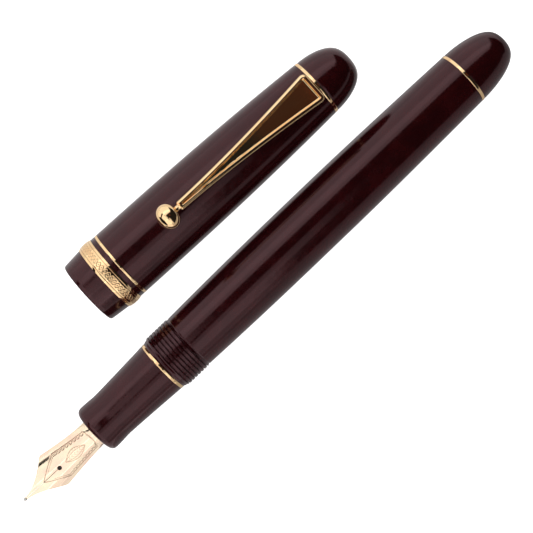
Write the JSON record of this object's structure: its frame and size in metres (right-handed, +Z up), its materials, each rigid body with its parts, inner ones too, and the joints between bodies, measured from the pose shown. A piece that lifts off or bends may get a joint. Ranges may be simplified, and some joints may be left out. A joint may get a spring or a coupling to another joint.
{
  "type": "fountain pen",
  "caption": "Fountain pen in dark burgundy resin with gold trim, a gold nib and a converter inside, its screw cap with a ball clip lying open beside it.",
  "frame": {"origin": "centre of the open pen and cap together, on the table surface they lie on", "axes": "+X along the pen's axis from the nib towards the tail, +Y from the pen towards the cap beside it, +Z up"},
  "size_m": [0.1334, 0.035, 0.0199],
  "materials": {
    "resin": "polished deep burgundy resin, slightly translucent at thin edges",
    "gold_trim": "polished gold plate",
    "nib_gold": "polished soft rose gold with fine engraving",
    "tipping_metal": "ground and polished hard alloy",
    "feed_plastic": "satin black",
    "collar_brass": "bright turned brass",
    "converter_metal": "bright plated",
    "clear_plastic": "clear",
    "white_plastic": "moulded, semi-gloss",
    "black_plastic": "moulded, semi-gloss",
    "seal_rubber": "smooth"
  },
  "bodies": {
    "front_unit": {"grip_section": "resin", "nib": "nib_gold", "nib_tipping": "tipping_metal", "feed": "feed_plastic", "ink_nipple": "feed_plastic", "section_thread": "collar_brass"},
    "trim_ring": {"section_ring": "gold_trim"},
    "barrel": {"barrel_tube": "resin", "tail_ring": "gold_trim", "tail_cap": "resin"},
    "converter": {"converter_mouth": "converter_metal", "ink_tube": "clear_plastic", "piston_guide": "white_plastic", "converter_sleeve": "converter_metal", "agitator_balls": "converter_metal"},
    "knob": {"fill_knob": "black_plastic", "lead_screw": "converter_metal"},
    "piston": {"piston_rod": "white_plastic", "piston_seal": "seal_rubber"},
    "cap": {"cap_lip": "resin", "cap_band": "gold_trim", "cap_tube": "resin", "cap_trim_ring": "gold_trim", "inner_cap": "black_plastic", "crown_ring": "gold_trim", "crown_stud": "collar_brass", "crown": "resin"},
    "clip": {"clip": "gold_trim", "clip_ball": "gold_trim"}
  },
  "joints": [
    {"name": "cap_swing", "type": "hinge", "parent": "front_unit", "child": "cap", "pos_m": [-0.05038, 0.00026, 0.00002], "axis": [0, -0.0634, 0.998], "range_deg": [0, 181.8]},
    {"name": "clip_flex", "type": "hinge", "parent": "cap", "child": "clip", "pos_m": [0.03129, 0.00805, 0.01439], "axis": [0.0314, 0.9995, 0], "range_deg": [0, 5], "stiffness_Nm_per_rad": 1},
    {"name": "barrel_draw", "type": "slide", "parent": "front_unit", "child": "trim_ring", "axis": [1, 0, 0], "range_m": [0, 0.075]},
    {"name": "barrel_turn", "type": "hinge", "parent": "trim_ring", "child": "barrel", "pos_m": [-0.02775, -0.011, 0.00653], "axis": [1, 0, 0], "continuous": true},
    {"name": "converter_draw", "type": "slide", "parent": "front_unit", "child": "converter", "axis": [1, 0, 0], "range_m": [0, 0.013]},
    {"name": "knob_turn", "type": "hinge", "parent": "converter", "child": "knob", "pos_m": [0.02825, -0.011, 0.00653], "axis": [1, 0, 0], "range_deg": [0, 2160]},
    {"name": "piston_slide", "type": "slide", "parent": "converter", "child": "piston", "axis": [-1, 0, 0], "range_m": [0, 0.018]}
  ],
  "couplings": [
    {"joint": "knob_turn", "follows": "piston_slide", "rad_per_m": 2094.4}
  ]
}
